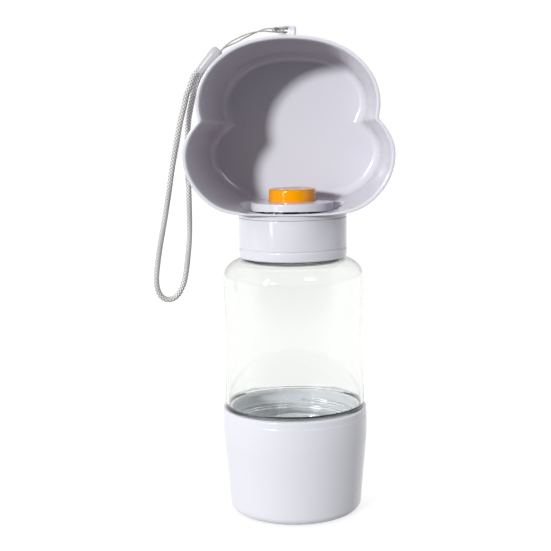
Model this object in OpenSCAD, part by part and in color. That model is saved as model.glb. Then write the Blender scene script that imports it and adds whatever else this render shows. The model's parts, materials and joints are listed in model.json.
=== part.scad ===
// Travel water bottle for dogs: a food cup, a clear bottle, a screw cap and a cloud-shaped
// drinking trough with a push-button valve and a wrist strap. Millimetres, +Z up. The origin is
// the centre of the cup's foot, and the trough opens towards -Y.

/* [Food cup] */
// Height of the cup
cup_h = 50.7; // [46:0.1:60]
// Outer radius at the rim
cup_rim_r = 35; // [33:0.1:40]
// Outer radius low down, where the wall meets the foot's fillet
cup_foot_r = 32.1; // [28:0.1:33]
// Depth below the rim at which the wall starts to taper
cup_straight = 12.7; // [11:0.1:16]
// Fillet round the foot
cup_fillet = 4; // [2:0.5:6]
// Wall of the cup
cup_wall = 1.7; // [1.4:0.1:2.2]
// Floor of the cup
cup_floor = 2.2; // [1.6:0.1:4]
// Depth of the line round the cup below its rim
cup_line_drop = 3.3; // [2:0.1:5]

/* [Bottle] */
// Height of the body, from its step on the cup to the start of the shoulder
body_h = 63.1; // [50:0.1:90]
// Outer radius just above the cup
body_low_r = 33.8; // [33:0.1:40]
// Outer radius of the waist
body_waist_r = 32.7; // [31.5:0.1:38]
// Outer radius under the shoulder
body_top_r = 33.7; // [33:0.1:40]
// Height of the rounded shoulder
shoulder_h = 9.4; // [6:0.1:14]
// Wall of the bottle
bottle_wall = 1.3; // [1:0.1:1.6]
// Height of the threaded base that sits in the cup
base_h = 13.4; // [12.5:0.1:16]
// Rise of the base's middle
punt_h = 6; // [2:0.1:8]
// Radius of the neck under its thread
neck_r = 22; // [21.5:0.1:25]
// Height of the neck
neck_h = 15.5; // [13.5:0.1:20]
// Wall of the neck
neck_wall = 2; // [1.6:0.1:2.2]

/* [Threads] */
// Rise of a thread in one turn
pitch = 4; // [3.6:0.1:4.5]
// Height of a thread's ridge
ridge_h = 1.4; // [1.2:0.1:1.5]
// Gap between a ridge and the wall that it faces
ridge_gap = 0.5; // [0.4:0.05:0.6]

/* [Screw cap] */
// Wall of the cap's skirt
cap_wall = 1.9; // [1.6:0.1:2.6]
// Top plate of the cap
cap_plate = 2.3; // [2:0.1:4]
// Height of the groove above the cap's lower edge
cap_groove_z = 4.5; // [3:0.1:8]
// Gap between the cap's lower edge and the shoulder
cap_edge_gap = 0.4; // [0.3:0.1:1]

/* [Trough] */
// Height of the trough, without the foot and the lug
trough_h = 81.5; // [78:0.05:84]
// Depth of the trough from its rim to its back
trough_depth = 51.4; // [51:0.1:60]
// How far the rim stands in front of the bottle's axis
rim_front = 27; // [26.5:0.1:28]
// Wall of the trough
trough_wall = 1.7; // [1.5:0.1:2]
// Wall along the trough's bottom
bottom_wall = 1.25; // [1.1:0.05:1.5]
// Half width of the lower lobe
low_a = 48.2; // [44:0.1:52]
// Half width of the upper lobe
up_a = 41.55; // [39:0.05:43]
// How far the sides draw in from rim to back
side_draft = 4.8; // [2:0.1:6]
// How far the bottom draws up from rim to back
low_draft = 2.15; // [1:0.05:2.5]
// Height of the round foot under the trough
foot_h = 2.15; // [1.9:0.05:4]
// Wall left between the recess under the disc and the foot's side
recess_wall = 1.5; // [1.2:0.1:2.5]
// Width of the lug
lug_w = 7.7; // [7:0.1:9]
// Thickness of the lug
lug_t = 3.6; // [3:0.1:5]
// Height of the lug above the rim
lug_h = 3.85; // [3.6:0.05:6]
// Radius of the hole in the lug
lug_hole_r = 1.5; // [1.4:0.1:1.7]

/* [Valve] */
// Radius of the flange disc
flange_r = 19.85; // [18:0.05:21]
// Thickness of the flange disc at its edge
flange_t = 3.4; // [3:0.1:4.5]
// Rise of the disc's top from its edge to the button
disc_rise = 0.6; // [0.2:0.1:1]
// Gap under the disc's skirt at its sides and back
skirt_gap = 0.25; // [0.2:0.05:0.5]
// The same at the front, where the water comes out
front_gap = 1.25; // [0.8:0.05:1.5]
// Height of the room under the flange, which the water goes through
outlet_h = 1.6; // [1.2:0.1:2]
// Outer radius of the valve's tube
tube_r = 13.5; // [13:0.1:14.5]
// Wall of the tube
tube_wall = 2; // [1.5:0.1:2.5]
// Length of the tube below the flange
tube_len = 13.6; // [12:0.1:16]
// Radius of the button
button_r = 11.2; // [10.5:0.1:11.6]
// Height of the button above the flange
button_h = 6.2; // [5.5:0.1:9]
// How far the button goes down
travel = 2.4; // [1.5:0.1:2.6]
// Radius of the stem
stem_r = 2; // [1.8:0.1:2.5]
// Wire of the spring
wire_d = 0.8; // [0.6:0.05:0.9]
// Turns of the spring
spring_turns = 4.5; // [3.5:0.5:4.5]

/* [Lanyard] */
// Diameter of the string
string_d = 0.6; // [0.5:0.1:0.9]
// Diameter of the strap's cord
strap_d = 2.7; // [2.4:0.1:2.8]
// Length of the sleeve
sleeve_len = 13.85; // [12:0.05:14]
// Radius of the sleeve's rounded edges at its upper end
sleeve_r = 1.95; // [1.8:0.05:2.2]

/* [Hidden] */
$fn = 96;

// small fits
seat = 0.1;        // between faces that rest on each other
slip = 0.1;        // radial, between fixed round fits
run = 0.05;        // radial, between the stem and its guide
ring_gap = 0.3;    // round a silicone ring
edge = 0.5;        // small edge rounding
eps = 0.01;

// colours
white = "#ececf4";
clear = "#dfe8ea";
orange = "#ff9500";
grey = "#c4c4c0";
silicone = "#d8dcdc";
steel = "#b0b4b8";

// threads: a ridge is wide at its wall and narrow at its crest
base_ridge_h = 2.8;    // start of the base's ridge above the base
neck_ridge_h = 4.6;    // start of the neck's ridge above the shoulder
ridge_root_w = 0.6 * pitch;
ridge_crest_w = 0.25 * pitch;
male_turns = 1.25;
female_turns = 1.5;
ridge_steps = 32;      // sections in one turn
ridge_embed = 0.3;     // how deep a ridge sits in its wall
ridge_room = ridge_h + ridge_gap + seat;

// heights, from the foot up
step_z = cup_h + 2 * seat;               // the bottle's step rests on the cup's rim
base_z = step_z - base_h;
base_ridge_z = base_z + base_ridge_h;
shoulder_z = step_z + body_h;
neck_z = shoulder_z + shoulder_h;
neck_top_z = neck_z + neck_h;
neck_ridge_z = neck_z + neck_ridge_h;
gasket_t = 1.5;
plate_z = neck_top_z + gasket_t + 2 * seat;
cap_top_z = plate_z + cap_plate;
cap_z = neck_z + cap_edge_gap;
foot_z = cap_top_z + seat;
trough_z = foot_z + foot_h;
pocket_sink = 0.15;
pocket_z = trough_z - pocket_sink;       // floor of the recess under the flange
flange_z = pocket_z + outlet_h;
flange_top_z = flange_z + flange_t;
seat_z = flange_z - tube_len;            // lower end of the tube, which the seal closes
button_top_z = flange_top_z + button_h;

// radii
cup_bore_r = cup_rim_r - cup_wall;
base_r = cup_bore_r - ridge_room;
cap_bore_r = neck_r + ridge_room - seat;
cap_r = cap_bore_r + cap_wall;
neck_bore_r = neck_r - neck_wall;
hub_r = tube_r + slip;

module ring(r_in, r_out, z0, h) {
    translate([0, 0, z0])
        difference() {
            cylinder(r = r_out, h = h);
            translate([0, 0, -1]) cylinder(r = r_in, h = h + 2);
        }
}

// ---------- skins through rings of points ----------

// Side faces between rings of n points, closed at each end by a fan round its middle point
function skin_faces(rings, n) = concat(
    [for (i = [0:n - 1]) [i, (i + 1) % n, rings * n]],
    [for (k = [0:rings - 2], i = [0:n - 1])
        [k * n + (i + 1) % n, k * n + i, (k + 1) * n + i]],
    [for (k = [0:rings - 2], i = [0:n - 1])
        [(k + 1) * n + (i + 1) % n, k * n + (i + 1) % n, (k + 1) * n + i]],
    [for (i = [0:n - 1]) [(rings - 1) * n + (i + 1) % n, (rings - 1) * n + i, rings * n + 1]]);

function flat(rings) = [for (r = rings, p = r) p];
function total(list, i = 0) = i == len(list) - 1 ? list[i] : list[i] + total(list, i + 1);
function middle(list) = total(list) / len(list);

module skin(rings) {
    ends = [middle(rings[0]), middle(rings[len(rings) - 1])];
    polyhedron(points = concat(flat(rings), ends),
               faces = skin_faces(len(rings), len(rings[0])), convexity = 8);
}

// ---------- threads ----------

// A ridge that winds up round Z from height z0. root_r is its wall and crest_r its edge.
module ridge(root_r, crest_r, z0, turns) {
    side = sign(crest_r - root_r);
    n = round(turns * ridge_steps);
    rings = [for (i = [0:n])
        let (a = 360 * turns * i / n,
             grow = min(1, 0.15 + min(i, n - i) / 3),
             r_in = root_r - side * ridge_embed,
             r_out = root_r + (crest_r - root_r) * grow,
             z = z0 + pitch * a / 360,
             half_root = grow * ridge_root_w / 2,
             half_crest = grow * ridge_crest_w / 2,
             section = [[r_in, z - half_root], [r_out, z - half_crest],
                        [r_out, z + half_crest], [r_in, z + half_root]])
        [for (p = side < 0 ? section : [for (k = [3:-1:0]) section[k]])
            [p[0] * cos(a), p[0] * sin(a), p[1]]]];
    skin(rings);
}

// ---------- food cup ----------

cup_taper_z = cup_h - cup_straight;
cup_slope = (cup_rim_r - cup_foot_r) / (cup_taper_z - cup_fillet);
foot_ring_w = 6.5;
foot_recess = 0.6;
inner_fillet = 3;
function cup_inner_r(z) = cup_bore_r - max(0, cup_taper_z - z) * cup_slope;

module food_cup() {
    foot_c = cup_foot_r - cup_fillet;
    floor_c = cup_inner_r(cup_floor + inner_fillet) - inner_fillet;
    line_z = cup_h - cup_line_drop;
    color(white) {
        difference() {
            rotate_extrude()
                polygon(concat(
                    [[0, foot_recess], [foot_c - foot_ring_w, foot_recess],
                     [foot_c - foot_ring_w, 0]],
                    [for (a = [0:15:90]) [foot_c + cup_fillet * sin(a),
                                          cup_fillet * (1 - cos(a))]],
                    [[cup_rim_r, cup_taper_z], [cup_rim_r, cup_h - edge],
                     [cup_rim_r - edge, cup_h], [cup_bore_r + edge / 2, cup_h],
                     [cup_bore_r, cup_h - edge], [cup_bore_r, cup_taper_z]],
                    [for (a = [90:-15:0]) [floor_c + inner_fillet * sin(a),
                                           cup_floor + inner_fillet * (1 - cos(a))]],
                    [[0, cup_floor]]));
            rotate_extrude()
                translate([cup_rim_r, line_z]) rotate(45) square(edge, center = true);
        }
        ridge(cup_bore_r, cup_bore_r - ridge_h, base_ridge_z - pitch / 2, female_turns);
    }
}

// Ring that sits round the bottle's base, under its step and inside the cup's rim
module cup_seal() {
    color(silicone)
        ring(base_r + slip, cup_bore_r - ring_gap, step_z - seat - gasket_t, gasket_t);
}

// ---------- bottle ----------

body_steps = 12;
step_w = 1;            // bevel over the step on the cup's rim
base_edge = 2;         // height of the bevel round the base
base_foot_w = 3.3;     // width of the flat ring that the base stands on
punt_r = base_r - base_edge - base_foot_w;
function body_r(t) = body_low_r + (body_top_r - body_low_r) * t
    - ((body_low_r + body_top_r) / 2 - body_waist_r) * pow(sin(180 * t), 2);

// Half of the bottle's section, up the body and over the shoulder, moved in by d
function body_side(d) = [for (i = [0:body_steps])
    let (t = i / body_steps, z0 = step_z + step_w + d)
    [body_r(t) - d, z0 + (shoulder_z - z0) * t]];
function shoulder_side(d) = [for (a = [10:10:90])
    [neck_r + (body_top_r - neck_r - d) * cos(a), shoulder_z + (shoulder_h - d) * sin(a)]];
function punt_side(d) = [for (i = [0:8])
    let (t = i / 8) [punt_r * t, base_z + d + punt_h * (1 - t * t)]];
function back(list) = [for (i = [len(list) - 1:-1:0]) list[i]];

module bottle_body() {
    w = bottle_wall;
    color(clear, 0.35) {
        rotate_extrude()
            polygon(concat(
                punt_side(0),
                [[base_r - base_edge, base_z],
                 [base_r - 0.3 * base_edge, base_z + 0.3 * base_edge],
                 [base_r, base_z + base_edge],
                 [base_r, step_z], [body_low_r - step_w, step_z]],
                body_side(0), shoulder_side(0),
                [[neck_r, neck_top_z - edge], [neck_r - edge, neck_top_z],
                 [neck_bore_r, neck_top_z], [neck_bore_r, neck_z - w]],
                back(shoulder_side(w)), back(body_side(w)),
                [[base_r - w, step_z + w / 2], [base_r - w, base_z + base_edge + w],
                 [base_r - base_edge - w / 4, base_z + w]],
                back(punt_side(w))));
        ridge(base_r, base_r + ridge_h, base_ridge_z, male_turns);
        ridge(neck_r, neck_r + ridge_h, neck_ridge_z, male_turns);
    }
}

// ---------- screw cap ----------

hub_seal_r = hub_r + 3.6;      // inner radius of the ring groove in the cap's top
hub_seal_w = 2.6;
hub_seal_t = 0.9;

module neck_gasket() {
    color(silicone)
        ring(nut_r + 2 * ring_gap, cap_bore_r - 2 * ring_gap, neck_top_z + seat, gasket_t);
}

module screw_cap() {
    groove = 0.45;
    color(white) {
        difference() {
            rotate_extrude()
                polygon([[cap_bore_r, cap_z], [cap_r - edge, cap_z], [cap_r, cap_z + edge],
                         [cap_r, cap_z + cap_groove_z - groove],
                         [cap_r - groove, cap_z + cap_groove_z],
                         [cap_r, cap_z + cap_groove_z + groove],
                         [cap_r, cap_top_z - edge / 2], [cap_r - edge / 2, cap_top_z],
                         [hub_r, cap_top_z], [hub_r, plate_z], [cap_bore_r, plate_z]]);
            ring(hub_seal_r - slip, hub_seal_r + hub_seal_w + slip, cap_top_z - hub_seal_t, 2);
        }
        ridge(cap_bore_r, cap_bore_r - ridge_h, neck_ridge_z - pitch / 2, female_turns);
    }
}

module trough_gasket() {
    color(silicone)
        ring(hub_seal_r, hub_seal_r + hub_seal_w, cap_top_z - hub_seal_t, hub_seal_t + seat / 2);
}

// ---------- trough ----------

outline_n = 72;                  // points round the outline
notch_h = 42.15;                 // height of the outline's own centre, level with its notches
low_h = 27.4;                    // height of the lower lobe's centre
low_b_down = 33.55;              // lower lobe's half height, downwards and upwards
low_b_up = 30.35;
up_h = 50.7;                     // height of the upper lobe's centre
up_b = trough_h - up_h + 0.8;    // its half height, before the flat top is cut
top_arc_r = 140;                 // radii of the gently curved top and bottom edges
bottom_arc_r = 900;
top_ease = 0.5;                  // what the eased corners take off the top's height
corner_power = 24;               // how sharply an edge arc turns into a lobe
notch_power = 60;                // how sharply the two lobes meet
back_fillet = 6;
lip_round = 0.5;
rim_y = -rim_front;
back_y = rim_y + trough_depth;
trough_cz = trough_z + notch_h;

// Distance from the outline's centre to an ellipse, along the direction [c, s]
function ellipse_hit(c, s, dz, a, b) =
    let (k2 = pow(c / a, 2) + pow(s / b, 2),
         k1 = s * dz / (b * b),
         k0 = pow(dz / b, 2) - 1)
    (k1 + sqrt(k1 * k1 - k2 * k0)) / k2;
// The same to a wide arc that passes h beyond the centre, up or down
function arc_hit(s, h, r) =
    let (m = s * (h - r)) m + sqrt(m * m + r * r - pow(h - r, 2));
function soft_min(a, b, p) = pow(pow(a, -p) + pow(b, -p), -1 / p);
function soft_max(a, b, p) = pow(pow(a, p) + pow(b, p), 1 / p);

// Radius of the cloud outline at the angle t, drawn in by d at its sides and e at its bottom
function cloud_r(t, d, e) =
    let (c = cos(t), s = sin(t),
         low_dz = low_h - notch_h,
         low_b = s * low_a > low_dz * abs(c) ? low_b_up : low_b_down,
         low = soft_min(ellipse_hit(c, s, low_dz, low_a - d, low_b - d),
                        arc_hit(-s, notch_h - e, bottom_arc_r), corner_power),
         up = soft_min(ellipse_hit(c, s, up_h - notch_h, up_a - d, up_b - d),
                       arc_hit(s, trough_h - notch_h + top_ease - d, top_arc_r), corner_power))
    soft_max(low, up, notch_power);

function cloud_ring(y, d, e) = [for (i = [0:outline_n - 1])
    let (t = 360 * i / outline_n, r = cloud_r(t, d, e))
    [r * cos(t), y, trough_cz + r * sin(t)]];

// Draft at the depth y, as a share of the whole
function draft_at(y) = (y - rim_y) / trough_depth;
function drafted_ring(y, d, e) =
    cloud_ring(y, d + side_draft * draft_at(y), e + low_draft * draft_at(y));

// Rings from the fillet at the back, at y_back, forward to the wall
function fillet_rings(y_back, f, d, e) = [for (a = [0:22.5:90])
    drafted_ring(y_back - f * (1 - cos(a)), d + f * (1 - sin(a)), e + f * (1 - sin(a)))];

module trough_outside() {
    skin(concat(fillet_rings(back_y, back_fillet, 0, 0),
                [drafted_ring(rim_y + lip_round, 0, 0), cloud_ring(rim_y, lip_round, lip_round)]));
}

module trough_inside() {
    w = trough_wall;
    b = bottom_wall;
    skin(concat(fillet_rings(back_y - w, back_fillet - w, w, b),
                [drafted_ring(rim_y + lip_round, w, b),
                 cloud_ring(rim_y, w - lip_round, b - lip_round),
                 cloud_ring(rim_y - 1, w - lip_round, b - lip_round)]));
}

lug_y = rim_y + 7;
lug_root = 1.5;                  // how deep the lug stands in the trough's wall
lug_top_z = trough_z + trough_h + lug_h;
lug_hole_z = lug_top_z - lug_hole_r - 0.9;

recess_r = flange_r + 1;
lug_corner = 1.2;

// Recess that the disc stands in. It reaches further forward than back, so that the water from
// under the disc's front runs out beside it.
module recess() {
    h = flange_top_z - pocket_z;
    translate([0, 0, pocket_z]) {
        cylinder(r = recess_r, h = h);
        intersection() {
            cylinder(r = cap_r - recess_wall, h = h);
            translate([-recess_r, -cap_r, 0]) cube([2 * recess_r, cap_r, h]);
        }
    }
}

module lug() {
    translate([0, lug_y + lug_t / 2, lug_top_z - lug_corner]) rotate([90, 0, 0])
        for (s = [-1, 1])
            translate([s * (lug_w / 2 - lug_corner), 0, 0])
                cylinder(r = lug_corner, h = lug_t);
    translate([lug_corner - lug_w / 2, lug_y - lug_t / 2, lug_top_z - 2 * lug_corner])
        cube([lug_w - 2 * lug_corner, lug_t, 2 * lug_corner]);
    translate([-lug_w / 2, lug_y - lug_t / 2, lug_top_z - lug_h - lug_root])
        cube([lug_w, lug_t, lug_h + lug_root - lug_corner]);
}

module trough() {
    foot_top_z = trough_z + low_draft + 1.3;
    color(white)
        difference() {
            union() {
                trough_outside();
                translate([0, 0, foot_z]) cylinder(r = cap_r, h = foot_top_z - foot_z);
                lug();
            }
            trough_inside();
            recess();
            translate([0, 0, foot_z - 1]) cylinder(r = hub_r, h = 5);
            translate([0, lug_y + lug_t, lug_hole_z]) rotate([90, 0, 0])
                cylinder(r = lug_hole_r, h = 2 * lug_t);
        }
}

// ---------- valve ----------

well_r = button_r + 0.5;                 // well in the flange that the button sinks into
well_floor = 0.7;
well_z = flange_z + well_floor;
guide_r = stem_r + 2.4;
guide_len = 6;
stem_seal_t = 1.6;
post_n = 8;
foot_n = 6;

skirt_w = 1.5;                           // wall of the skirt under the disc's edge
skirt_low_z = pocket_z + skirt_gap;
front_tilt = atan((front_gap - skirt_gap) / flange_r);

// The disc's skirt, cut on a slant that leaves the wider gap at the front
module disc_skirt() {
    difference() {
        ring(flange_r - skirt_w, flange_r, skirt_low_z, flange_z + edge / 2 - skirt_low_z);
        translate([0, 0, skirt_low_z]) rotate([-front_tilt, 0, 0])
            translate([-2 * flange_r, -2 * flange_r, -outlet_h])
                cube([4 * flange_r, 2 * flange_r, outlet_h]);
    }
}

module valve_body() {
    window_w = 7;
    rib_w = 1.2;
    bore_r = tube_r - tube_wall;
    color(white)
        difference() {
            union() {
                rotate_extrude()
                    polygon([[stem_r + run, flange_z], [flange_r, flange_z],
                             [flange_r, flange_top_z - edge],
                             [flange_r - edge, flange_top_z],
                             [well_r, flange_top_z + disc_rise],
                             [well_r, well_z], [stem_r + run, well_z]]);
                disc_skirt();
                ring(bore_r, tube_r, seat_z, flange_z - seat_z + well_floor / 2);
                ring(stem_r + run, guide_r, flange_z - guide_len, guide_len + well_floor / 2);
                for (i = [0:foot_n - 1])
                    rotate(360 * i / foot_n)
                        translate([tube_r + rib_w, -rib_w / 2, pocket_z + eps])
                            cube([flange_r - tube_r - 2 * rib_w, rib_w,
                                  outlet_h + well_floor / 2]);
            }
            for (i = [0:post_n - 1])
                rotate(360 * i / post_n)
                    translate([bore_r - 1, -window_w / 2, pocket_z])
                        cube([tube_wall + 1.6, window_w, outlet_h]);
            translate([0, 0, flange_z - guide_len - 1]) cylinder(r = stem_seal_r, h = stem_seal_t + 1);
        }
}

stem_seal_r = guide_r - 0.8;

module stem_seal() {
    color(silicone)
        ring(stem_r + run, stem_seal_r - run, flange_z - guide_len, stem_seal_t - run);
}

nut_r = 18;
nut_h = 4.4;
nut_notch = 1.2;       // depth of the six notches for a key

module valve_nut() {
    color(white)
        difference() {
            ring(tube_r + slip / 2, nut_r, plate_z - seat - nut_h, nut_h);
            for (i = [0:5])
                rotate(60 * i)
                    translate([nut_r - nut_notch, -1.5, plate_z - nut_h - 1])
                        cube([3, 3, nut_h + 2]);
        }
}

skirt_z = well_z + travel + 0.2;         // lower edge of the button
button_wall = 1.5;
boss_r = stem_r + 1.6;
pin_r = stem_r - 0.5;                    // both ends of the stem are this thin
pin_len = 3.6;
shoulder_top_z = button_top_z - button_wall - pin_len - 0.4;

module push_button() {
    round_r = 1;
    inner_top_z = button_top_z - button_wall;
    boss_z = shoulder_top_z + seat / 2;
    color(orange)
        rotate_extrude()
            polygon(concat(
                [[pin_r + run / 2, boss_z], [boss_r, boss_z], [boss_r, inner_top_z],
                 [button_r - button_wall, inner_top_z], [button_r - button_wall, skirt_z],
                 [button_r, skirt_z]],
                [for (a = [0:15:90]) [button_r - round_r * (1 - cos(a)),
                                      button_top_z - round_r * (1 - sin(a))]],
                [[0, button_top_z], [0, inner_top_z - 0.3], [pin_r + run / 2, inner_top_z - 0.3]]));
}

seal_t = 1.7;
plate_t = 1.2;
clip_t = 0.7;
seal_z = seat_z - seat / 2 - seal_t;
plate_low_z = seal_z - plate_t;
clip_z = plate_low_z - run - clip_t;
clip_groove = 0.5;

module valve_stem() {
    color(steel)
        difference() {
            union() {
                translate([0, 0, seat_z]) cylinder(r = stem_r, h = shoulder_top_z - seat_z);
                translate([0, 0, clip_z - 1]) cylinder(r = pin_r, h = seat_z - clip_z + 2);
                translate([0, 0, shoulder_top_z - eps]) cylinder(r = pin_r, h = pin_len);
            }
            ring(pin_r - clip_groove, pin_r + 1, clip_z - run, clip_t + 2 * run);
        }
}

module valve_seal() {
    color(silicone)
        ring(pin_r + run, tube_r - 0.9, seal_z, seal_t);
}

module valve_plate() {
    color(white)
        ring(pin_r + run, tube_r - 3, plate_low_z, plate_t - eps);
}

module stem_clip() {
    r_in = pin_r - clip_groove + run;
    color(steel)
        difference() {
            ring(r_in, pin_r + 1.6, clip_z, clip_t);
            translate([0, -0.8, clip_z - 1]) cube([pin_r + 3, 1.6, clip_t + 2]);
        }
}

// ---------- spring ----------

spring_r = boss_r + 2.2;                 // middle of the wire
spring_low_z = well_z + wire_d / 2 + run;
spring_high_z = button_top_z - button_wall - wire_d / 2 - run;
spring_curl = 8;                         // rings in one curl
spring_points = [for (i = [0:spring_turns * spring_curl])
    let (a = 360 * i / spring_curl,
         t = i / (spring_turns * spring_curl))
    [spring_r * cos(a), spring_r * sin(a),
     spring_low_z + (spring_high_z - spring_low_z) * t]];
spring_gap = (spring_high_z - spring_low_z) / spring_turns - wire_d;
echo(spring_least_gap_mm = spring_gap);

module valve_spring() {
    color(steel) tube(spring_points, wire_d, 6);
}

// ---------- tubes along a route ----------

function unit(v) = v / norm(v);
function ahead(p, i) = unit(p[min(i + 1, len(p) - 1)] - p[max(i - 1, 0)]);
// A side direction square to the route at each point, carried on from the point before
function carried(p, i, last) =
    let (t = ahead(p, i)) unit(last - t * (last * t));
function sides(p, i, list) = i == len(p) ? list
    : sides(p, i + 1, concat(list, [carried(p, i, list[i - 1])]));
function first_side(p) =
    let (t = ahead(p, 0), v = abs(t[1]) < 0.8 ? [0, 1, 0] : [1, 0, 0]) unit(v - t * (v * t));

module tube(p, d, n) {
    u = sides(p, 1, [first_side(p)]);
    skin([for (i = [0:len(p) - 1])
        let (t = ahead(p, i), w = cross(t, u[i]))
        [for (k = [0:n - 1])
            let (a = 360 * k / n) p[i] + (u[i] * cos(a) + w * sin(a)) * d / 2]]);
}

// ---------- lanyard ----------

// The sleeve's upper end and its lean from straight down
sleeve_top = [-31.1, -20, 220.7];
sleeve_lean = 41.8;
sleeve_taper = 0.75;                     // share of its radius that is left at its lower end
sleeve_half = 0.85;                      // the rounded edges lie this far to each side
sleeve_dir = [-sin(sleeve_lean), 0, -cos(sleeve_lean)];
sleeve_end = sleeve_top + sleeve_dir * sleeve_len;

// From the sleeve to the lug, through its hole and back
string_route = [
    [-30.2, -20.6, 219.91], [-29.2, -20.7, 221.03], [-25.6, -21, 223.8], [-22.2, -21.2, 225.5],
    [-19.2, -21.4, 226.7], [-15.9, -21.5, 227.6], [-12.5, -21.4, 228.2], [-9.8, -21.1, 228.3],
    [-8, -20.5, 228.1], [-6, -19.2, 228], [-4.4, -17.4, 227.9], [-2.4, -16.9, 227.8],
    [-0.9, -17.5, 227.7], [-0.3, -19, 227.7], [-0.3, -21, 227.7], [-0.9, -22.5, 227.7],
    [-2.4, -23.1, 227.8], [-4.4, -22.9, 227.9], [-6, -22.6, 228.2], [-6.7, -22.4, 228.9],
    [-5.8, -22.5, 229.5], [-4.2, -22.8, 229.5], [-2.2, -22.9, 229.4], [-0.7, -22.4, 229.3],
    [0.1, -21, 229.1], [0.1, -19, 229.1], [-0.7, -17.5, 229.3], [-2.4, -16.9, 229.4],
    [-4.4, -17.4, 229.4], [-6, -18.8, 229.4], [-8.2, -19.4, 229.5], [-10.5, -19.5, 229.2],
    [-13, -19.5, 228.4], [-16.1, -19.4, 227.1], [-19.8, -19.3, 225.4], [-23.4, -19.3, 223.6],
    [-25.9, -19.3, 222.6], [-29.2, -19.4, 221.03], [-30.2, -19.4, 219.91]];

// From the sleeve down, round and back
strap_route = [
    [-41.05, -21.15, 210.99], [-42.52, -21.15, 209.35], [-43.7, -21.25, 206.8],
    [-44.8, -21.2, 203.6], [-46.1, -21, 201], [-47.6, -20.4, 195.6], [-49.2, -19.8, 190.2],
    [-50.3, -19.3, 186.1], [-51.4, -18.6, 181.1], [-53.1, -17.6, 173.7], [-54.9, -16.6, 165.4],
    [-56.4, -15.8, 157], [-58, -15.2, 148.6], [-59.7, -14.8, 140.1], [-61.5, -14.4, 131.6],
    [-63, -14.2, 123], [-63.8, -14, 117.3], [-64, -13.8, 113.4], [-63.5, -13.5, 109.5],
    [-62, -13.1, 106.4], [-59.4, -12.7, 104.9], [-56.6, -12.3, 105.2], [-54.1, -11.9, 107.2],
    [-52.2, -11.4, 110.6], [-51, -10.9, 114], [-50, -10.3, 119.6], [-49.3, -9.7, 125.4],
    [-48.7, -9.1, 131.8], [-48.4, -8.5, 139.4], [-48.4, -8, 146.9], [-48.5, -7.5, 153.5],
    [-48.6, -7.1, 159.2], [-48.7, -7, 164.8], [-48.8, -7.2, 170.5], [-48.6, -8, 176.1],
    [-48.2, -9.4, 180.8], [-47.5, -11.5, 185.9], [-46.7, -13.4, 190.1], [-45.7, -14.9, 193.9],
    [-44.7, -16.2, 197.4], [-43.6, -17.4, 200.8], [-42.4, -18.4, 203.9], [-41.9, -18.75, 205.7],
    [-41.11, -18.85, 208.09], [-39.64, -18.85, 209.73]];

module string_loop() {
    color(grey) tube(string_route, string_d, 8);
}

module lanyard_sleeve() {
    color(grey)
        translate(sleeve_top) rotate([0, sleeve_lean, 0]) mirror([0, 0, 1])
            hull()
                for (s = [-1, 1])
                    translate([s * sleeve_half, 0, 0])
                        cylinder(r1 = sleeve_r, r2 = sleeve_r * sleeve_taper, h = sleeve_len,
                                 $fn = 32);
}

module strap_cord() {
    color(grey) tube(strap_route, strap_d, 8);
}

food_cup();
cup_seal();
bottle_body();
neck_gasket();
screw_cap();
trough();
trough_gasket();
valve_body();
valve_nut();
push_button();
valve_stem();
stem_seal();
valve_spring();
valve_seal();
valve_plate();
stem_clip();
string_loop();
lanyard_sleeve();
strap_cord();
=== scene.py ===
"""Looks of a dog's travel water bottle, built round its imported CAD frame. Lengths are in mm
until a mesh is made, and the frame is the CAD's: Z up, the trough opens towards -Y."""

import json  # noqa: E402
import math  # noqa: E402

import bpy  # noqa: E402
import numpy as np  # noqa: E402
from mathutils import Matrix, Vector  # noqa: E402


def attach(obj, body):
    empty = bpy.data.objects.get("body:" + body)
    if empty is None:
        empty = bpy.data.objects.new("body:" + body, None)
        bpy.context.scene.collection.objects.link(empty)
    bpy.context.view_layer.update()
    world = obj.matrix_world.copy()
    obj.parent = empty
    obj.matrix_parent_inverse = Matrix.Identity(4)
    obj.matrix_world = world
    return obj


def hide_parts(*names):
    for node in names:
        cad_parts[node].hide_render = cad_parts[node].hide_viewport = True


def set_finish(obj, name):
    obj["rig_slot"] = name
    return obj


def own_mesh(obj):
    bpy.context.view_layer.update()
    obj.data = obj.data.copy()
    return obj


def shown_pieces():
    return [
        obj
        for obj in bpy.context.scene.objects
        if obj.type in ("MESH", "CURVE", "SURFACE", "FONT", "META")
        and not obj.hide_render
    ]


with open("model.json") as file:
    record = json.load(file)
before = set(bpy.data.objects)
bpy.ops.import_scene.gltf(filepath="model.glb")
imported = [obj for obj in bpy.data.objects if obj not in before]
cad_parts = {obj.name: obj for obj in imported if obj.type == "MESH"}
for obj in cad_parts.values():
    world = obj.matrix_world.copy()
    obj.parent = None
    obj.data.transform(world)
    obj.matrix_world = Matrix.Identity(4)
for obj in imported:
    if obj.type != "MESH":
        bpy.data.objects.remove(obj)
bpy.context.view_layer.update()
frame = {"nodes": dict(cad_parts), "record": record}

MM = 0.001
scene = bpy.context.scene

# ---------------------------------------------------------------- camera

FOCAL_PX = 1150
PHOTO_PX = 551
SENSOR = 36.0
CAM_AZIMUTH = 3.7  # degrees round the bottle's axis, to the right
CAM_YAW = 0.896  # turned left, so that the bottle stands right of the middle
CAM_PITCH = 8.3
CAM_ROLL = 0.85
CAM_DISTANCE = 547
CAM_HEIGHT = 194.2


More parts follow.
